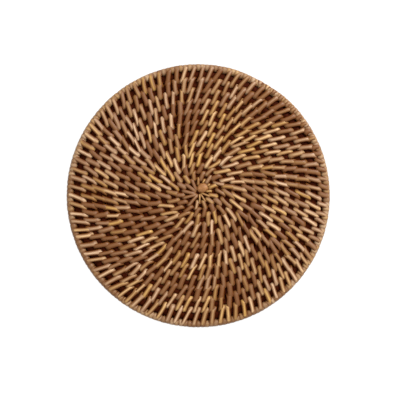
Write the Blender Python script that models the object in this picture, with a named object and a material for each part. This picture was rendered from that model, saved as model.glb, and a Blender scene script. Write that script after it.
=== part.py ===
"""Round rattan trivet: a rod coiled in a flat spiral, its bound rim and its wound start.

The origin is the centre of the underside, +Z is up, and all sizes are in metres.
"""
import math

import bmesh
import bpy

# Driving dimensions of the whole mat
DIAMETER = 0.200
THICKNESS = 0.0107
FIT_GAP = 0.0003

# The coiled rod: its turns start at the pole, which lies a little off the mat's centre. They lie close
# together at first, widen within one turn, and then keep an even pitch.
ROW_PITCH = 0.00809
EARLY_PITCH = 0.00517
EARLY_TURN = 2.2
EARLY_RADIUS = 0.0187
EVEN_TURN = 3.2
POLE_X = 0.0002
POLE_Y = 0.00265
START_TURN = 0.2275
STEPS_A_TURN = 48
GROOVE_DEPTH = 0.0021
CREST_INNER = 0.30
CREST_OUTER = 0.70

# The bound rim: a band of close wraps with a rounded edge, pressed in where the rod's tail ends
RIM_WIDTH = 0.0049
RIM_FLAT = 0.0005
RIM_WRAPS = 184
WRAP_RELIEF = 0.00035
RIM_ARC_POINTS = 5
DENT_DEPTH = 0.0008
DENT_ANGLE = math.radians(60)
DENT_SPREAD = math.radians(7)

# The wound start at the pole
KNOT_SIDES = 28
KNOT_DOME = 0.0009
KNOT_SHOULDER = 0.72
KNOT_EDGE_DROP = 0.0021

# Values worked out from the sizes above
OUTER_RADIUS = DIAMETER / 2
RIM_INNER_RADIUS = OUTER_RADIUS - RIM_WIDTH
COIL_RADIUS = RIM_INNER_RADIUS - FIT_GAP
HOLE_RADIUS = EARLY_RADIUS - EARLY_PITCH * (EARLY_TURN + 0.5)
MERGE_DISTANCE = 1e-6
SHARP_ANGLE = math.radians(50)


def clear_scene():
    """Remove every object, so that the file holds only this mat."""
    for item in list(bpy.data.objects):
        bpy.data.objects.remove(item, do_unlink=True)


def rattan(name, color, roughness):
    """A plain rattan finish in one colour."""
    material = bpy.data.materials.new(name)
    material.use_nodes = True
    shader = material.node_tree.nodes["Principled BSDF"]
    shader.inputs["Base Color"].default_value = (*color, 1.0)
    shader.inputs["Roughness"].default_value = roughness
    shader.inputs["Metallic"].default_value = 0.0
    material.diffuse_color = (*color, 1.0)
    return material


def finish(name, shape, material):
    """Close the shape, turn its faces outwards and place it as a named object."""
    bmesh.ops.remove_doubles(shape, verts=shape.verts, dist=MERGE_DISTANCE)
    bmesh.ops.dissolve_degenerate(shape, dist=MERGE_DISTANCE, edges=shape.edges)
    bmesh.ops.triangulate(shape, faces=shape.faces)
    bmesh.ops.recalc_face_normals(shape, faces=shape.faces)
    mesh = bpy.data.meshes.new(name)
    shape.to_mesh(mesh)
    shape.free()
    mesh.shade_smooth()
    mesh.set_sharp_from_angle(angle=SHARP_ANGLE)
    mesh.materials.append(material)
    item = bpy.data.objects.new(name, mesh)
    bpy.context.scene.collection.objects.link(item)
    return item


def edge_distance(angle):
    """How far the coil's outer circle lies from the pole, in the direction of an angle."""
    along = POLE_X * math.cos(angle) + POLE_Y * math.sin(angle)
    across = POLE_X * math.sin(angle) - POLE_Y * math.cos(angle)
    return math.sqrt(COIL_RADIUS ** 2 - across ** 2) - along


def rod_radius(turn):
    """How far the rod's middle lies from the pole after a number of turns."""
    if turn >= EVEN_TURN:
        return ROW_PITCH * turn
    if turn >= EARLY_TURN:
        share = (turn - EARLY_TURN) / (EVEN_TURN - EARLY_TURN)
        return EARLY_RADIUS + (ROW_PITCH * EVEN_TURN - EARLY_RADIUS) * share
    return EARLY_RADIUS - EARLY_PITCH * (EARLY_TURN - turn)


def groove_line(step):
    """Angle and distance from the pole of the groove on the inner side of the rod, at a step."""
    turn = step / STEPS_A_TURN - 1
    angle = 2 * math.pi * (turn + START_TURN)
    spiral = max(HOLE_RADIUS, rod_radius(turn - 0.5))
    return angle, min(spiral, edge_distance(angle))


def coil_steps():
    """Number of steps after which the rod's inner groove has run out to the outer circle."""
    step = STEPS_A_TURN
    while groove_line(step)[1] < edge_distance(groove_line(step)[0]):
        step += 1
    return step


def rod_width(step, last):
    """Width of the rod's ridge at a step; it is nothing before the start and after the tail."""
    if step < 0 or step > last:
        return 0.0
    return groove_line(step + STEPS_A_TURN)[1] - groove_line(step)[1]


def groove_drop(step, last):
    """Depth of the groove at a step, which fades with the narrower of the two ridges beside it."""
    inner = rod_width(step - STEPS_A_TURN, last)
    outer = rod_width(step, last)
    if step < STEPS_A_TURN:
        inner = outer
    if step > last:
        outer = inner
    return GROOVE_DEPTH * min(1.0, inner / ROW_PITCH, outer / ROW_PITCH)


def coil(material):
    """The coiled rod: one spiral ridge on each face, sewn into a single flat body."""
    shape = bmesh.new()
    last = coil_steps()

    def column(angle, distance, drop):
        """A pair of points, one on each face, at a place given from the pole."""
        x = POLE_X + distance * math.cos(angle)
        y = POLE_Y + distance * math.sin(angle)
        return shape.verts.new((x, y, THICKNESS - drop)), shape.verts.new((x, y, drop))

    grooves = []
    for step in range(last + STEPS_A_TURN + 1):
        angle, distance = groove_line(step)
        grooves.append(column(angle, distance, groove_drop(step, last)))

    crests = []
    for step in range(last + 1):
        angle, inner = groove_line(step)
        width = rod_width(step, last)
        first = column(angle, inner + CREST_INNER * width, 0.0)
        second = column(angle, inner + CREST_OUTER * width, 0.0)
        crests.append((first, second))

    for step in range(last):
        here = (grooves[step], *crests[step], grooves[step + STEPS_A_TURN])
        there = (grooves[step + 1], *crests[step + 1], grooves[step + 1 + STEPS_A_TURN])
        for strip in range(3):
            for face in range(2):
                shape.faces.new((here[strip][face], here[strip + 1][face],
                                 there[strip + 1][face], there[strip][face]))

    hole_wall = range(STEPS_A_TURN)
    outer_wall = range(last, last + STEPS_A_TURN)
    for step in (*hole_wall, *outer_wall):
        here = grooves[step]
        there = grooves[step + 1]
        shape.faces.new((here[0], here[1], there[1], there[0]))
    return finish("coil", shape, material)


def rim_section(angle, relief):
    """Points of the rim's section as distance and height: a flat inner wall and a rounded edge."""
    turned = (angle - DENT_ANGLE + math.pi) % (2 * math.pi) - math.pi
    dent = DENT_DEPTH * math.exp(-0.5 * (turned / DENT_SPREAD) ** 2)
    base = RIM_INNER_RADIUS + RIM_FLAT
    reach = OUTER_RADIUS - base - dent - relief
    half = THICKNESS / 2
    points = [(RIM_INNER_RADIUS, 0.0), (RIM_INNER_RADIUS, THICKNESS)]
    for index in range(RIM_ARC_POINTS):
        bend = math.pi * index / (RIM_ARC_POINTS - 1)
        height = half + (half - relief * math.sin(bend)) * math.cos(bend)
        points.append((base + reach * math.sin(bend), height))
    return points


def rim(material):
    """The border: close wraps side by side right round the coil, each a low raised band."""
    shape = bmesh.new()
    sections = 2 * RIM_WRAPS
    rings = []
    for index in range(sections):
        angle = 2 * math.pi * index / sections
        relief = WRAP_RELIEF * (index % 2)
        ring = []
        for distance, height in rim_section(angle, relief):
            place = (distance * math.cos(angle), distance * math.sin(angle), height)
            ring.append(shape.verts.new(place))
        rings.append(ring)
    for index in range(sections):
        here = rings[index]
        there = rings[(index + 1) % sections]
        for side in range(len(here)):
            after = (side + 1) % len(here)
            shape.faces.new((here[side], here[after], there[after], there[side]))
    return finish("rim", shape, material)


def start_knot(material):
    """The wound start: a small button with a low dome on each face, which fills the coil's centre."""
    shape = bmesh.new()
    radius = HOLE_RADIUS - FIT_GAP
    dome = THICKNESS - KNOT_DOME
    profile = ((KNOT_SHOULDER * radius, dome), (radius, THICKNESS - KNOT_EDGE_DROP),
               (radius, KNOT_EDGE_DROP), (KNOT_SHOULDER * radius, KNOT_DOME))
    rings = []
    for distance, height in profile:
        ring = []
        for index in range(KNOT_SIDES):
            angle = 2 * math.pi * index / KNOT_SIDES
            place = (POLE_X + distance * math.cos(angle), POLE_Y + distance * math.sin(angle), height)
            ring.append(shape.verts.new(place))
        rings.append(ring)
    for upper, lower in zip(rings, rings[1:]):
        for index in range(KNOT_SIDES):
            after = (index + 1) % KNOT_SIDES
            shape.faces.new((upper[index], lower[index], lower[after], upper[after]))
    shape.faces.new(rings[0])
    shape.faces.new(rings[-1])
    return finish("start_knot", shape, material)


clear_scene()
coil(rattan("sewn rattan", (0.42, 0.24, 0.12), 0.55))
rim(rattan("bound rattan", (0.56, 0.37, 0.20), 0.50))
start_knot(rattan("wound rattan", (0.33, 0.15, 0.07), 0.55))
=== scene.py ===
"""The looks of the rattan trivet: a dark rod coiled in a spiral, sewn with round strips of reed.

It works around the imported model's frame, in metres, with +Z up.
"""
import math
import random

import bpy
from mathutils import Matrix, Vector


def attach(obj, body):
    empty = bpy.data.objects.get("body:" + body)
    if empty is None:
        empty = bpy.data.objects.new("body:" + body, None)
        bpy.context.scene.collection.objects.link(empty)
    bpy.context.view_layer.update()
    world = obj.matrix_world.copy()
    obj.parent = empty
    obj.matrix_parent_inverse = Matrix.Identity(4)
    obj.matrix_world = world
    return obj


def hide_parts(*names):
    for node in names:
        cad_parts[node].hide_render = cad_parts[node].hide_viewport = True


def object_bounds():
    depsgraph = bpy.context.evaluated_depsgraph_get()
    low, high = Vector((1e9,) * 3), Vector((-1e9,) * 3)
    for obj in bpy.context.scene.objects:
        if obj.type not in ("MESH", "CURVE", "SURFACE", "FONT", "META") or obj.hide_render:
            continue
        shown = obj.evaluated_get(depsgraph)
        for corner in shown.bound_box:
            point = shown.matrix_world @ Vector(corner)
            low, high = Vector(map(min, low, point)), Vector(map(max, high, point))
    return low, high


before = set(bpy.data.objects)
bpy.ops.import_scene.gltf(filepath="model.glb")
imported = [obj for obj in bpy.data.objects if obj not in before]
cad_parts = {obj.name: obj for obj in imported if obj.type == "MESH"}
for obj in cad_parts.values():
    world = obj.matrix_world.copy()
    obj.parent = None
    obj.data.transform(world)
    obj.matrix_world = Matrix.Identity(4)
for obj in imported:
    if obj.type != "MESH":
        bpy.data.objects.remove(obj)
cad_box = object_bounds()

# The table top, the light and the camera
# The mat lies on a white table top in soft studio light, stronger from the upper right. The camera
# looks straight down on it through a long lens, with the mat a little above the picture's middle.
MM = 0.001
MAT_LOW, MAT_HIGH = cad_box
MAT_RADIUS = (MAT_HIGH.x - MAT_LOW.x) / 2
MAT_THICKNESS = MAT_HIGH.z - MAT_LOW.z
PIXEL = 0.7596 * MM
PICTURE_PIXELS = 400
MAT_CENTRE_PIXEL = (198.25, 195.75)
LENS_MM = 85
SENSOR_MM = 36
TABLE_SIZE = 6.0
TABLE_WHITE = 0.12
TABLE_GLOW = 0.95
SKY_STRENGTH = 0.62
KEY_POWER = 18.0
KEY_SIZE = 0.55
KEY_PLACE = (0.75, 0.80, 0.95)


def plain_material(name, color, roughness):
    """A new material with one Principled shader, and that shader."""
    material = bpy.data.materials.new(name)
    material.use_nodes = True
    shader = material.node_tree.nodes["Principled BSDF"]
    shader.inputs["Base Color"].default_value = (*color, 1.0)
    shader.inputs["Roughness"].default_value = roughness
    return material, shader


table_mesh = bpy.data.meshes.new("table_top")
half_table = TABLE_SIZE / 2
table_mesh.from_pydata([(-half_table, -half_table, 0), (half_table, -half_table, 0),
                        (half_table, half_table, 0), (-half_table, half_table, 0)], [], [(0, 1, 2, 3)])
table_top = bpy.data.objects.new("table_top", table_mesh)
bpy.context.scene.collection.objects.link(table_top)
table_paint, table_shader = plain_material("table white", (TABLE_WHITE,) * 3, 0.6)
table_shader.inputs["Emission Color"].default_value = (1, 1, 1, 1)
table_shader.inputs["Emission Strength"].default_value = TABLE_GLOW
table_mesh.materials.append(table_paint)

key_data = bpy.data.lights.new("key light", "AREA")
key_data.energy = KEY_POWER
key_data.size = KEY_SIZE
key_light = bpy.data.objects.new("key light", key_data)
key_light.location = KEY_PLACE
key_light.rotation_euler = (-key_light.location).to_track_quat("-Z", "Y").to_euler()
bpy.context.scene.collection.objects.link(key_light)

sky = bpy.data.worlds.new("studio")
sky.use_nodes = True
sky.node_tree.nodes["Background"].inputs["Color"].default_value = (1, 1, 1, 1)
sky.node_tree.nodes["Background"].inputs["Strength"].default_value = SKY_STRENGTH
bpy.context.scene.world = sky
bpy.context.scene.view_settings.view_transform = "Standard"

camera_data = bpy.data.cameras.new("camera")
camera_data.lens = LENS_MM
camera_data.sensor_width = SENSOR_MM
camera = bpy.data.objects.new("camera", camera_data)
picture_middle = PICTURE_PIXELS / 2
camera_height = PICTURE_PIXELS * PIXEL * LENS_MM / SENSOR_MM + MAT_THICKNESS / 2
camera.location = ((picture_middle - MAT_CENTRE_PIXEL[0]) * PIXEL,
                   (MAT_CENTRE_PIXEL[1] - picture_middle) * PIXEL, camera_height)
bpy.context.scene.collection.objects.link(camera)
bpy.context.scene.camera = camera

# The coiled rod
# One dark rod of rattan core starts at the pole, a little off the mat's centre, and winds outwards
# counter-clockwise, each turn beside the last: close together at first, then at an even pitch. Its
# tail thins out under the border near 60 degrees.
ROW_PITCH = 8.09 * MM
EARLY_PITCH = 5.17 * MM
EARLY_TURN = 2.2
EARLY_RADIUS = 18.7 * MM
EVEN_TURN = 3.2
POLE_X = 0.2 * MM
POLE_Y = 2.65 * MM
START_TURN = 0.2275
RIM_WIDTH = 4.9 * MM
COIL_RADIUS = MAT_RADIUS - RIM_WIDTH
FIRST_TURN = -0.45
ROD_HALF_HEIGHT = 2.6 * MM
ROD_TAPER_TURNS = 0.25
ROD_STEPS = 900
ROD_SIDES = 12
ROD_FULLNESS = 1.04
MERGE = 5e-6


class Value:
    """A socket that takes part in formulas. Each operator adds its own Math node."""

    def __init__(self, tree, socket):
        self.tree = tree
        self.socket = socket

    def __add__(self, other):
        return self.tree.math("ADD", self, other)

    def __radd__(self, other):
        return self.tree.math("ADD", other, self)

    def __sub__(self, other):
        return self.tree.math("SUBTRACT", self, other)

    def __rsub__(self, other):
        return self.tree.math("SUBTRACT", other, self)

    def __mul__(self, other):
        return self.tree.math("MULTIPLY", self, other)

    def __rmul__(self, other):
        return self.tree.math("MULTIPLY", other, self)

    def __truediv__(self, other):
        return self.tree.math("DIVIDE", self, other)

    def __pow__(self, other):
        return self.tree.math("POWER", self, other)

    def __abs__(self):
        return self.tree.math("ABSOLUTE", self)

    def output(self, name):
        """Another output of the node that this value comes from."""
        return Value(self.tree, self.socket.node.outputs[name])


class Tree:
    """A node tree, of a material or of Geometry Nodes, in which formulas are written."""

    def __init__(self, nodes):
        self.nodes = nodes

    def fill(self, socket, value):
        """Gives a socket a link or a plain value."""
        if isinstance(value, Value):
            self.nodes.links.new(value.socket, socket)
        else:
            socket.default_value = value

    def add(self, kind, settings=None, inputs=None, output=0):
        """Makes a node: its settings first, then its sockets. Gives one of its outputs."""
        node = self.nodes.nodes.new(kind)
        for name, value in (settings or {}).items():
            setattr(node, name, value)
        for name, value in (inputs or {}).items():
            self.fill(node.inputs[name], value)
        return Value(self, node.outputs[output] if node.outputs else None)

    def math(self, operation, *values):
        """A Math node on one to three values."""
        return self.add("ShaderNodeMath", {"operation": operation}, dict(enumerate(values)))

    def sin(self, angle):
        return self.math("SINE", angle)

    def cos(self, angle):
        return self.math("COSINE", angle)

    def smallest(self, *values):
        return self.math("MINIMUM", *values)

    def largest(self, *values):
        return self.math("MAXIMUM", *values)

    def signed_power(self, value, power):
        """The value's size raised to a power, with its sign kept."""
        return self.math("SIGN", value) * abs(value) ** power

    def vector(self, x, y, z):
        return self.add("ShaderNodeCombineXYZ", None, {"X": x, "Y": y, "Z": z})

    def between(self, value, low, high, to_low=0.0, to_high=1.0):
        """The value, spread from one range to another and held inside it."""
        inputs = {"Value": value, "From Min": low, "From Max": high, "To Min": to_low, "To Max": to_high}
        return self.add("ShaderNodeMapRange", {"clamp": True}, inputs)

    def blend(self, share, first, second):
        """A mix of two colours."""
        node = self.add("ShaderNodeMix", {"data_type": "RGBA", "clamp_factor": True}).socket.node
        self.fill(node.inputs[0], share)
        for socket, color in ((node.inputs[6], first), (node.inputs[7], second)):
            self.fill(socket, color if isinstance(color, Value) else (*color, 1.0))
        return Value(self, node.outputs[2])


def geometry_tree(name, sizes):
    """A new Geometry Nodes tree with named number inputs, and those inputs by name."""
    nodes = bpy.data.node_groups.new(name, "GeometryNodeTree")
    nodes.interface.new_socket("Geometry", in_out="INPUT", socket_type="NodeSocketGeometry")
    for size in sizes:
        whole = isinstance(sizes[size], int)
        kind = "NodeSocketInt" if whole else "NodeSocketFloat"
        nodes.interface.new_socket(size, in_out="INPUT", socket_type=kind)
    nodes.interface.new_socket("Material", in_out="INPUT", socket_type="NodeSocketMaterial")
    nodes.interface.new_socket("Geometry", in_out="OUTPUT", socket_type="NodeSocketGeometry")
    tree = Tree(nodes)
    first = tree.add("NodeGroupInput")
    given = {socket.name: Value(tree, socket) for socket in first.socket.node.outputs if socket.name}
    return tree, given


def tube_grid(tree, given):
    """A flat grid to be bent into a tube: along its length is u, round its section is v."""
    grid = tree.add("GeometryNodeMeshGrid", None,
                    {"Size X": 1.0, "Size Y": 1.0, "Vertices X": given["Steps"] + 1.0,
                     "Vertices Y": given["Sides"] + 1.0})
    place = tree.add("ShaderNodeSeparateXYZ", None, {"Vector": tree.add("GeometryNodeInputPosition")})
    shape = tree.add("GeometryNodeStoreNamedAttribute", {"data_type": "FLOAT2", "domain": "CORNER"},
                     {"Geometry": grid, "Name": "UVMap", "Value": grid.output("UV Map")})
    for name, value in (("u", place.output("X") + 0.5), ("v", place.output("Y") + 0.5)):
        shape = tree.add("GeometryNodeStoreNamedAttribute", {"data_type": "FLOAT", "domain": "POINT"},
                         {"Geometry": shape, "Name": name, "Value": value})
    return shape


def read(tree, name):
    """A number that each point carries."""
    return tree.add("GeometryNodeInputNamedAttribute", {"data_type": "FLOAT"}, {"Name": name})


def close_tree(tree, given, shape, place):
    """Puts the points in place, welds the seams, and ends the tree with its material."""
    shape = tree.add("GeometryNodeSetPosition", None, {"Geometry": shape, "Position": place})
    shape = tree.add("GeometryNodeMergeByDistance", None, {"Geometry": shape, "Distance": MERGE})
    shape = tree.add("GeometryNodeSetShadeSmooth", None, {"Geometry": shape})
    shape = tree.add("GeometryNodeRealizeInstances", None, {"Geometry": shape})
    shape = tree.add("GeometryNodeSetMaterial", None, {"Geometry": shape, "Material": given["Material"]})
    last = tree.nodes.nodes.new("NodeGroupOutput")
    tree.fill(last.inputs["Geometry"], shape)


def grow(name, tree, sizes, material, start=None):
    """Runs a Geometry Nodes tree on a mesh and keeps the result as a plain mesh object."""
    piece = bpy.data.objects.new(name, start or bpy.data.meshes.new(name))
    bpy.context.scene.collection.objects.link(piece)
    modifier = piece.modifiers.new("shape", "NODES")
    modifier.node_group = tree.nodes
    for item in tree.nodes.interface.items_tree:
        if item.in_out == "INPUT" and item.name in sizes:
            modifier[item.identifier] = sizes[item.name]
        if item.in_out == "INPUT" and item.name == "Material":
            modifier[item.identifier] = material
    depsgraph = bpy.context.evaluated_depsgraph_get()
    result = bpy.data.meshes.new_from_object(piece.evaluated_get(depsgraph),
                                             preserve_all_data_layers=True, depsgraph=depsgraph)
    piece.modifiers.clear()
    piece.data = result
    result.name = name
    return piece


def linear(red, green, blue):
    """A colour as a painter reads it, 0 to 255 for each part, turned into the renderer's numbers."""
    parts = []
    for part in (red, green, blue):
        share = part / 255
        parts.append(share / 12.92 if share <= 0.04045 else ((share + 0.055) / 1.055) ** 2.4)
    return tuple(parts)


def distance_to_circle(angle, radius):
    """How far a circle round the mat's centre lies from the pole, along an angle."""
    along = POLE_X * math.cos(angle) + POLE_Y * math.sin(angle)
    across = POLE_X * math.sin(angle) - POLE_Y * math.cos(angle)
    return math.sqrt(radius ** 2 - across ** 2) - along


def angle_at(turn):
    """The angle that the spiral has reached after a number of turns."""
    return 2 * math.pi * (turn + START_TURN)


def rod_radius(turn):
    """How far the rod's middle lies from the pole after a number of turns."""
    if turn >= EVEN_TURN:
        return ROW_PITCH * turn
    if turn >= EARLY_TURN:
        share = (turn - EARLY_TURN) / (EVEN_TURN - EARLY_TURN)
        return EARLY_RADIUS + (ROW_PITCH * EVEN_TURN - EARLY_RADIUS) * share
    return max(0.0, EARLY_RADIUS - EARLY_PITCH * (EARLY_TURN - turn))


def row_edges(turn):
    """Inner and outer edge of the rod's row, as distances from the pole."""
    circle = distance_to_circle(angle_at(turn), COIL_RADIUS)
    return min(rod_radius(turn - 0.5), circle), min(rod_radius(turn + 0.5), circle)


def find_last_turn():
    """The turn at which the rod's inner edge runs out to the coil's circle."""
    turn = 10.0
    while row_edges(turn)[0] < distance_to_circle(angle_at(turn), COIL_RADIUS):
        turn += 0.001
    return turn


LAST_TURN = find_last_turn()

rod_sizes = {"Steps": ROD_STEPS, "Sides": ROD_SIDES, "First turn": FIRST_TURN, "Last turn": LAST_TURN,
             "Half height": ROD_HALF_HEIGHT}
rod_tree, given = geometry_tree("coiled rod", rod_sizes)
turn = given["First turn"] + (given["Last turn"] - given["First turn"]) * read(rod_tree, "u")
angle = (turn + START_TURN) * math.tau
along = POLE_X * rod_tree.cos(angle) + POLE_Y * rod_tree.sin(angle)
across = POLE_X * rod_tree.sin(angle) - POLE_Y * rod_tree.cos(angle)
circle = rod_tree.math("SQRT", COIL_RADIUS ** 2 - across * across) - along


def spiral(turn):
    """The rod's middle line before it meets the coil's circle, as a formula."""
    early = EARLY_RADIUS - EARLY_PITCH * (EARLY_TURN - turn)
    step = (ROW_PITCH * EVEN_TURN - EARLY_RADIUS) / (EVEN_TURN - EARLY_TURN)
    later = rod_tree.smallest(turn, EVEN_TURN) - EARLY_TURN
    later = rod_tree.largest(later, 0.0) * (step - EARLY_PITCH)
    even = rod_tree.largest(turn - EVEN_TURN, 0.0) * (ROW_PITCH - EARLY_PITCH)
    return rod_tree.smallest(rod_tree.largest(early + later + even, 0.0), circle)


inner = spiral(turn - 0.5)
outer = spiral(turn + 0.5)
taper = rod_tree.between(turn, given["First turn"], given["First turn"] + ROD_TAPER_TURNS)
half_width = rod_tree.largest((outer - inner) * (0.5 * ROD_FULLNESS), 0.0) * taper
half_height = rod_tree.smallest(given["Half height"], half_width)
bend = read(rod_tree, "v") * math.tau
distance = (inner + outer) * 0.5 + half_width * rod_tree.cos(bend)
height = MAT_THICKNESS / 2 - half_height * rod_tree.sin(bend)
place = rod_tree.vector(POLE_X + distance * rod_tree.cos(angle), POLE_Y + distance * rod_tree.sin(angle),
                        height)
close_tree(rod_tree, given, tube_grid(rod_tree, given), place)

# The rod's colour is partly its own dark brown and partly painted shade: it is darker than the bare rod, so
# the holes between the strips look deep and shaded. The same brown is the painted shade on the strips' deep
# ends. The border cane and the start button share this material.
ROD_AND_SHADE_BROWN = linear(74, 23, 2)
ROD_BLACK = linear(54, 14, 0)
BARK_SCALE = 420.0
rod_bark_and_shade, rod_shader = plain_material("dark rod", ROD_AND_SHADE_BROWN, 0.6)
rod_shader.inputs["Specular IOR Level"].default_value = 0.05
bark_tree = Tree(rod_bark_and_shade.node_tree)
where = bark_tree.add("ShaderNodeTexCoord", None, None, "Object")
grain_inputs = {"Vector": where, "Scale": BARK_SCALE, "Detail": 3.0}
grain = bark_tree.add("ShaderNodeTexNoise", None, grain_inputs, "Fac")
bark_color = bark_tree.blend(bark_tree.between(grain, 0.35, 0.65), ROD_AND_SHADE_BROWN, ROD_BLACK)
bark_tree.fill(rod_shader.inputs["Base Color"], bark_color)
bark_tree.fill(rod_shader.inputs["Roughness"], bark_tree.between(grain, 0.3, 0.7, 0.5, 0.75))
bark_bump = bark_tree.add("ShaderNodeBump", None, {"Strength": 0.5, "Distance": 0.2 * MM, "Height": grain})
bark_tree.fill(rod_shader.inputs["Normal"], bark_bump)
coiled_rod = grow("coiled_rod", rod_tree, rod_sizes, rod_bark_and_shade)
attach(coiled_rod, "root")
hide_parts("coil")

# The sewing
# Round strips of split reed, sewn over each turn of the rod and down between the strips of the turn
# inside it. They lean clockwise outwards, and each length of reed keeps its own colour for a while.
STITCH_LENGTH = 6.35 * MM
STITCHES_AT_START = 12.5
STRIP_WIDTH = 3.4 * MM
STRIP_FILL = 0.58
STRIP_THICKNESS = 1.9 * MM
OVERLAP = 2.5 * MM
OVERLAP_SHARE = 0.32
END_SWELL = 0.7
START_REACH = 1.4 * MM
PAD_X = 3.4 * MM
PAD_Y = 5.9 * MM
PAD_HALF_LENGTH = 4.6 * MM
PAD_HALF_WIDTH = 3.9 * MM
PAD_COVER = 1.2 * MM
START_REACH_TURN = 0.5
RIM_REACH = 0.8 * MM
STRIP_STEPS = 22
STRIP_SIDES = 8
SEWING_SQUARE = 0.5
LEAN_BY_TURN = ((0.5, 10), (1.2, 16), (1.8, 24), (3.0, 19), (6.0, 19), (7.0, 17), (12.0, 17))
LOCK = 6.0
SEWING_DROP = 0.1 * MM
LOCK_BY_MOVING = 0.1
MOST_PULL = 0.8 * MM
MOST_PULL_SHARE = 0.13
ROUGH_AMOUNT = 0.4 * MM
ROUGH_SCALE = 240.0
PLACE_SPREAD = 0.12
LEAN_SPREAD = 0.15
WIDTH_SPREAD = 0.13
THICKNESS_SPREAD = 0.07
CREST_SPREAD = 0.3 * MM
SHORTEST_RUN = 3
LONGEST_RUN = 12
YELLOW_SPREAD = 0.6
DARK_SPREAD = 0.45
DARK_POWER = 1.2
SPOT_SPREAD = 0.15

strip_sizes = {"Steps": STRIP_STEPS, "Sides": STRIP_SIDES, "Mid height": MAT_THICKNESS / 2,
               "Unevenness": ROUGH_AMOUNT, "Squareness": SEWING_SQUARE, "End swell": END_SWELL}
strip_tree, given = geometry_tree("sewn strips", strip_sizes)
loop = tube_grid(strip_tree, given)
strips = strip_tree.add("GeometryNodeInstanceOnPoints", None,
                        {"Points": given["Geometry"], "Instance": loop})
strips = strip_tree.add("GeometryNodeRealizeInstances", None, {"Geometry": strips})
path_angle = (read(strip_tree, "u") + 0.5) * math.tau
outwards = strip_tree.cos(path_angle)
upwards = strip_tree.sin(path_angle)
thickness = read(strip_tree, "thickness")
reach_in = read(strip_tree, "reach_in")
reach_out = read(strip_tree, "reach_out")
square = given["Squareness"]
span = (reach_out - reach_in - thickness) * 0.5
rise = read(strip_tree, "crest") - given["Mid height"] - thickness * 0.5
along_share = strip_tree.signed_power(outwards, square)
along_row = span * along_share
above_middle = rise * strip_tree.signed_power(upwards, square)
normal_out = strip_tree.signed_power(outwards, 2.0 - square) * rise
normal_up = strip_tree.signed_power(upwards, 2.0 - square) * span
normal_size = strip_tree.math("SQRT", normal_out * normal_out + normal_up * normal_up)
section_angle = (read(strip_tree, "v") + 0.5) * math.tau
lift = strip_tree.cos(section_angle) * thickness * 0.5 / normal_size
swell = 1.0 + given["End swell"] * along_share * along_share
pulled = read(strip_tree, "pull") * strip_tree.largest(0.0 - along_share, 0.0)
sideways = (strip_tree.sin(section_angle) * read(strip_tree, "width") * 0.5 * swell
            - read(strip_tree, "lean") * along_row + pulled)
distance = (reach_in + reach_out) * 0.5 + along_row + normal_out * lift
height = given["Mid height"] + above_middle + normal_up * lift
angle = read(strip_tree, "angle")
cos_angle = strip_tree.cos(angle)
sin_angle = strip_tree.sin(angle)
place = strip_tree.vector(POLE_X + distance * cos_angle - sideways * sin_angle,
                          POLE_Y + distance * sin_angle + sideways * cos_angle, height)
rough = strip_tree.add("ShaderNodeTexNoise", None, {"Vector": place, "Scale": ROUGH_SCALE, "Detail": 1.0},
                       "Color")
rough = strip_tree.add("ShaderNodeVectorMath", {"operation": "SUBTRACT"}, {0: rough, 1: (0.5, 0.5, 0.5)})
rough = strip_tree.add("ShaderNodeVectorMath", {"operation": "SCALE"},
                       {0: rough, "Scale": given["Unevenness"]})
place = strip_tree.add("ShaderNodeVectorMath", {"operation": "ADD"}, {0: place, 1: rough})
close_tree(strip_tree, given, strips, place)


def row_middle(turn):
    inner, outer = row_edges(turn)
    return (inner + outer) / 2


def stitch_length(turn):
    """Distance from one stitch to the next along the row: crowded at the start, then even."""
    return min(STITCH_LENGTH, math.tau * row_middle(turn) / STITCHES_AT_START)


def lean_at(turn):
    """How much a strip leans, as a slope: most in the second turn, and then a little less."""
    for (low, first), (high, second) in zip(LEAN_BY_TURN, LEAN_BY_TURN[1:]):
        if turn <= high:
            share = max(0.0, (turn - low) / (high - low))
            return math.tan(math.radians(first + (second - first) * share))
    return math.tan(math.radians(LEAN_BY_TURN[-1][1]))


def lean_shift(turn):
    """How far round, in turns, a strip's end lies from its middle."""
    inner, outer = row_edges(turn)
    return lean_at(turn) * (outer - inner) / (outer + inner) / math.tau


def stitch_turns(rng):
    """Where each stitch lies, and how far its inner end is pulled sideways. A stitch is one stitch
    length on from the last, and its inner end is drawn towards a gap in the turn inside it."""
    turns = []
    pulls = []
    gap = 0
    turn = FIRST_TURN
    while turn < LAST_TURN:
        move = 0.0
        inside = turn - 1 + lean_shift(turn) + lean_shift(max(turn - 1, FIRST_TURN))
        while gap + 2 < len(turns) and turns[gap + 1] <= inside:
            gap += 1
        if len(turns) > 2 and turns[gap] <= inside < turns[gap + 1]:
            width = turns[gap + 1] - turns[gap]
            phase = (inside - turns[gap]) / width - 0.5
            drawn = math.copysign(0.5 * abs(2 * phase) ** LOCK, phase)
            move = (drawn - phase) * width
        step = stitch_length(turn) / row_middle(turn) / math.tau
        turns.append(turn + move * LOCK_BY_MOVING + rng.uniform(-PLACE_SPREAD, PLACE_SPREAD) * step)
        pull = move * (1 - LOCK_BY_MOVING) * math.tau * row_middle(turn)
        most = min(MOST_PULL, MOST_PULL_SHARE * stitch_length(turn))
        pulls.append(max(-most, min(most, pull)))
        turn += step
    return turns, pulls


def reed_colours(rng):
    """The colour of the reed in use, as two shares: yellowish and dark. It changes every few
    stitches, when a new length of reed is taken."""
    while True:
        yellow = rng.random()
        dark = rng.random() ** DARK_POWER
        for _ in range(rng.randint(SHORTEST_RUN, LONGEST_RUN)):
            yellow_now = yellow + rng.uniform(-YELLOW_SPREAD, YELLOW_SPREAD)
            yield yellow_now, dark + rng.uniform(-DARK_SPREAD, DARK_SPREAD)


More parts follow.
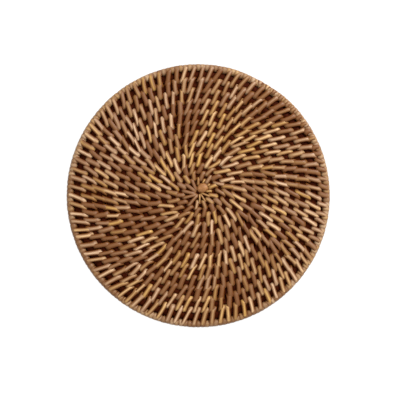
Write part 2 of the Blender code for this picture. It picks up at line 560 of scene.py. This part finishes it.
# Places where the reed has a colour of its own: x, y and radius, then its yellowish and dark shares
COLOUR_SPOTS = ((-77.5 * MM, 3.0 * MM, 9.0 * MM, 1.1, 0.55),
                (-49.9 * MM, -20.3 * MM, 8.0 * MM, 0.2, 1.2),
                (-7.4 * MM, 57.2 * MM, 8.0 * MM, 0.3, 1.2),
                (6.0 * MM, 2.0 * MM, 8.5 * MM, 0.8, 0.35),
                (-7.0 * MM, 3.0 * MM, 7.5 * MM, 0.0, 0.8))


def start_reach(angle):
    """Where a strip of the first turn starts, from the pole: beside it, or under the pad's far edge."""
    half = (PAD_HALF_LENGTH + PAD_HALF_WIDTH) / 2
    x = PAD_X - POLE_X
    y = PAD_Y - POLE_Y
    along = x * math.cos(angle) + y * math.sin(angle)
    across = x * math.sin(angle) - y * math.cos(angle)
    if along < 0 or abs(across) > half:
        return START_REACH
    return max(START_REACH, along + math.sqrt(half ** 2 - across ** 2) - PAD_COVER)


def strip(rng, colours, turn_angle, reaches, lean, pull, width, thickness, crest):
    """The measures of one strip, with the small differences of handwork."""
    yellow, dark = next(colours)
    middle = (reaches[0] + reaches[1]) / 2
    x = POLE_X + middle * math.cos(turn_angle)
    y = POLE_Y + middle * math.sin(turn_angle)
    for spot_x, spot_y, radius, spot_yellow, spot_dark in COLOUR_SPOTS:
        if math.hypot(x - spot_x, y - spot_y) < radius:
            yellow = spot_yellow + rng.uniform(-SPOT_SPREAD, SPOT_SPREAD)
            dark = spot_dark + rng.uniform(-SPOT_SPREAD, SPOT_SPREAD)
    return {"angle": turn_angle, "reach_in": reaches[0], "reach_out": reaches[1],
            "lean": lean + rng.uniform(-LEAN_SPREAD, LEAN_SPREAD), "pull": pull,
            "width": width * rng.uniform(1 - WIDTH_SPREAD, 1 + WIDTH_SPREAD),
            "thickness": thickness * rng.uniform(1 - THICKNESS_SPREAD, 1 + THICKNESS_SPREAD),
            "crest": crest - rng.uniform(0.0, CREST_SPREAD),
            "yellow": yellow, "dark": dark, "seed": rng.random()}


def stations(name, rows):
    """A mesh of bare points, one for each strip, that carry the strips' measures."""
    mesh = bpy.data.meshes.new(name)
    mesh.from_pydata([(0, 0, 0)] * len(rows), [], [])
    for key in rows[0]:
        attribute = mesh.attributes.new(key, "FLOAT", "POINT")
        attribute.data.foreach_set("value", [row[key] for row in rows])
    return mesh


PINK_REED = linear(238, 198, 156)
YELLOW_REED = linear(228, 178, 94)
BROWN_REED = linear(132, 84, 40)
# SHADE_BROWN and the SIDE_ numbers paint shade on the strips' sides. The DEEP_ numbers paint shade where
# the strips dive down between the turns.
SHADE_BROWN = linear(114, 60, 4)
SIDE_FROM = 0.1
SIDE_TO = 0.75
SIDE_SHADE = 1.0
FIBRES_ALONG = 9.0
FIBRES_ACROSS = 16.0
FIBRE_FROM = 0.42
FIBRE_TO = 0.72
FIBRE_SHADE = 0.7
SMOOTHEST = 0.42
ROUGHEST = 0.62
BUMP_STRENGTH = 0.5
BUMP_HEIGHT = 0.2 * MM
DEEP_SHADE = 0.9
DEEP_FROM = 2.0 * MM
DEEP_TO = 4.8 * MM


def reed_material(name, pink, yellow_tone, brown, side_shade):
    """Split reed: three tones by the strip's own colour, fine fibres along it, painted shade on its sides,
    and painted shade where it dives deep into the mat.
    """
    material, shader = plain_material(name, pink, 0.5)
    tree = Tree(material.node_tree)
    uv_map = tree.add("ShaderNodeUVMap", {"uv_map": "UVMap"})
    uv = tree.add("ShaderNodeSeparateXYZ", None, {"Vector": uv_map})
    along = uv.output("X")
    across = uv.output("Y")
    seed = tree.add("ShaderNodeAttribute", {"attribute_name": "seed"}, None, "Fac")
    yellow = tree.add("ShaderNodeAttribute", {"attribute_name": "yellow"}, None, "Fac")
    dark = tree.add("ShaderNodeAttribute", {"attribute_name": "dark"}, None, "Fac")

    fibre_place = tree.vector(along * FIBRES_ALONG, across * FIBRES_ACROSS, seed * 50.0)
    fibre = tree.add("ShaderNodeTexNoise", None,
                     {"Vector": fibre_place, "Scale": 1.0, "Detail": 2.0}, "Fac")
    where = tree.add("ShaderNodeTexCoord", None, None, "Object")
    height = tree.add("ShaderNodeSeparateXYZ", None, {"Vector": where}).output("Z")
    # Painted shade: the reed darkens towards the rod's brown where it dives deep into the mat, between the
    # turns.
    depth = MAT_THICKNESS / 2 - abs(height - MAT_THICKNESS / 2)
    deep = tree.between(depth, DEEP_FROM, DEEP_TO)
    # Painted shade: each strip darkens from its crest towards its sides.
    side = abs(tree.sin(across * math.tau))
    side = tree.between(side, SIDE_FROM, SIDE_TO)
    color = tree.blend(yellow, pink, yellow_tone)
    color = tree.blend(dark, color, brown)
    color = tree.blend(tree.between(fibre, FIBRE_FROM, FIBRE_TO, 0.0, FIBRE_SHADE), color, brown)
    color = tree.blend(side * side_shade, color, SHADE_BROWN)
    color = tree.blend(deep * DEEP_SHADE, color, ROD_AND_SHADE_BROWN)
    tree.fill(shader.inputs["Base Color"], color)
    tree.fill(shader.inputs["Roughness"], tree.between(fibre, 0.3, 0.7, SMOOTHEST, ROUGHEST))
    bump = tree.add("ShaderNodeBump", None,
                    {"Strength": BUMP_STRENGTH, "Distance": BUMP_HEIGHT, "Height": fibre})
    tree.fill(shader.inputs["Normal"], bump)
    return material


split_reed = reed_material("split reed", PINK_REED, YELLOW_REED, BROWN_REED, SIDE_SHADE)
sewing_rng = random.Random(11)
sewing_colours = reed_colours(sewing_rng)
sewn = []
for turn, pull in zip(*stitch_turns(sewing_rng)):
    inner, outer = row_edges(turn)
    overlap = min(OVERLAP, OVERLAP_SHARE * (outer - inner))
    reaches = (inner - overlap if turn > START_REACH_TURN else start_reach(angle_at(turn)), outer + overlap)
    if turn > LAST_TURN - 1:
        reaches = (reaches[0], distance_to_circle(angle_at(turn), MAT_RADIUS) - RIM_REACH)
    width = min(STRIP_WIDTH, STRIP_FILL * stitch_length(turn))
    sewn.append(strip(sewing_rng, sewing_colours, angle_at(turn), reaches, lean_at(turn), pull, width,
                      STRIP_THICKNESS, MAT_THICKNESS - SEWING_DROP))

MOST_STRIPS = 400
for index in range(0, len(sewn), MOST_STRIPS):
    name = f"sewing_{index // MOST_STRIPS + 1}"
    group = grow(name, strip_tree, strip_sizes, split_reed, stations(name, sewn[index:index + MOST_STRIPS]))
    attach(group, "root")
    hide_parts("coil")

# The bound rim
# A cane laid round the outside of the last turn and bound in close flat wraps right round the mat.
# The edge is pressed in a little near 60 degrees, where the rod's tail ends.
RIM_WRAPS = 184
WRAP_WIDTH = 4.2 * MM
WRAP_THICKNESS = 1.1 * MM
WRAP_REACH = 5.7 * MM
WRAP_SQUARE = 0.8
DENT_DEPTH = 0.8 * MM
DENT_ANGLE = math.radians(60)
DENT_SPREAD = math.radians(7)
RIM_CREST_DROP = 0.7 * MM
# The rim's wraps are painted lighter on the side towards the key light and darker away from it.
RIM_LIT_ANGLE = math.radians(60)
RIM_LIGHT_SWING = 0.25
RIM_UNEVENNESS = 0.15 * MM
rim_rng = random.Random(23)
rim_colours = reed_colours(rim_rng)
wraps = []
for index in range(RIM_WRAPS):
    around = math.tau * index / RIM_WRAPS
    dent = DENT_DEPTH * math.exp(-0.5 * ((around - DENT_ANGLE) / DENT_SPREAD) ** 2)
    edge_radius = MAT_RADIUS - dent - rim_rng.uniform(0.0, RIM_UNEVENNESS)
    x = edge_radius * math.cos(around) - POLE_X
    y = edge_radius * math.sin(around) - POLE_Y
    edge = math.hypot(x, y)
    wrap = strip(rim_rng, rim_colours, math.atan2(y, x), (edge - WRAP_REACH, edge), 0.0, 0.0, WRAP_WIDTH,
                 WRAP_THICKNESS, MAT_THICKNESS - RIM_CREST_DROP)
    # Painted light: the wraps are paler towards the upper right, where the key light stands, and darker on
    # the far side.
    wrap["dark"] -= RIM_LIGHT_SWING * math.cos(around - RIM_LIT_ANGLE)
    wraps.append(wrap)
wrap_sizes = {**strip_sizes, "Squareness": WRAP_SQUARE, "Unevenness": ROUGH_AMOUNT / 2, "End swell": 0.0}
PALE_RIM = linear(204, 170, 132)
GOLDEN_RIM = linear(192, 150, 96)
BROWN_RIM = linear(138, 96, 56)
RIM_SIDE_SHADE = 0.6
bound_reed = reed_material("bound reed", PALE_RIM, GOLDEN_RIM, BROWN_RIM, RIM_SIDE_SHADE)
rim_wraps = grow("rim_wraps", strip_tree, wrap_sizes, bound_reed, stations("rim_wraps", wraps))
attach(rim_wraps, "root")
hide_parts("rim")

CANE_IN = 5.8 * MM
CANE_OUT = 1.2 * MM
CANE_HALF_HEIGHT = 4.2 * MM
cane_sizes = {"Steps": 240, "Sides": 10, "Inner radius": MAT_RADIUS - CANE_IN,
              "Outer radius": MAT_RADIUS - CANE_OUT, "Half height": CANE_HALF_HEIGHT}
cane_tree, given = geometry_tree("border cane", cane_sizes)
angle = read(cane_tree, "u") * math.tau
bend = read(cane_tree, "v") * math.tau
middle = (given["Inner radius"] + given["Outer radius"]) * 0.5
half_width = (given["Outer radius"] - given["Inner radius"]) * 0.5
distance = middle + half_width * cane_tree.cos(bend)
height = MAT_THICKNESS / 2 + given["Half height"] * cane_tree.sin(bend)
place = cane_tree.vector(distance * cane_tree.cos(angle), distance * cane_tree.sin(angle), height)
close_tree(cane_tree, given, tube_grid(cane_tree, given), place)
border_cane = grow("border_cane", cane_tree, cane_sizes, rod_bark_and_shade)
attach(border_cane, "root")
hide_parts("rim")

# The wound start
# A dark button of rod fills the middle, and the first strip is laid over it in a smooth flat pad
# with a dark slit beside it. The first strips spring from round the pad.
BUTTON_HALF_WIDTH = 8.0 * MM
BUTTON_HALF_HEIGHT = 2.6 * MM
KNOT_FLATNESS = 0.4
knot_sizes = {"Steps": 24, "Sides": 24, "Half length": 1.0, "Half width": 1.0, "Half height": 1.0,
              "Flatness": KNOT_FLATNESS, "Centre x": 0.0, "Centre y": 0.0, "Turned": 0.0}
knot_tree, given = geometry_tree("rounded button", knot_sizes)
north = read(knot_tree, "u") * math.pi
east = read(knot_tree, "v") * math.tau
flat = knot_tree.sin(north)
long_way = given["Half length"] * flat * knot_tree.cos(east)
short_way = given["Half width"] * flat * knot_tree.sin(east)
cos_turned = knot_tree.cos(given["Turned"])
sin_turned = knot_tree.sin(given["Turned"])
dome = knot_tree.signed_power(knot_tree.cos(north), given["Flatness"])
height = MAT_THICKNESS / 2 + given["Half height"] * dome
x = given["Centre x"] + long_way * cos_turned - short_way * sin_turned
y = given["Centre y"] + long_way * sin_turned + short_way * cos_turned
place = knot_tree.vector(x, y, height)
close_tree(knot_tree, given, tube_grid(knot_tree, given), place)

button_sizes = {**knot_sizes, "Half length": BUTTON_HALF_WIDTH, "Half width": BUTTON_HALF_WIDTH,
                "Half height": BUTTON_HALF_HEIGHT, "Centre x": POLE_X, "Centre y": POLE_Y}
start_button = grow("start_button", knot_tree, button_sizes, rod_bark_and_shade)
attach(start_button, "root")
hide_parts("start_knot")

PAD_BROWN = linear(186, 128, 74)
PAD_SHADE = linear(136, 84, 40)
PAD_SIDE_SHADE = 0.3
PAD_DROP = 0.05 * MM
PAD_TURNED = math.radians(12)
pad_reed = reed_material("smooth reed", PAD_BROWN, PAD_BROWN, PAD_SHADE, PAD_SIDE_SHADE)
pad_sizes = {**knot_sizes, "Half length": PAD_HALF_LENGTH, "Half width": PAD_HALF_WIDTH,
             "Half height": MAT_THICKNESS / 2 - PAD_DROP, "Centre x": PAD_X, "Centre y": PAD_Y,
             "Turned": PAD_TURNED}
start_pad = grow("start_pad", knot_tree, pad_sizes, pad_reed)
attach(start_pad, "root")
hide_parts("start_knot")
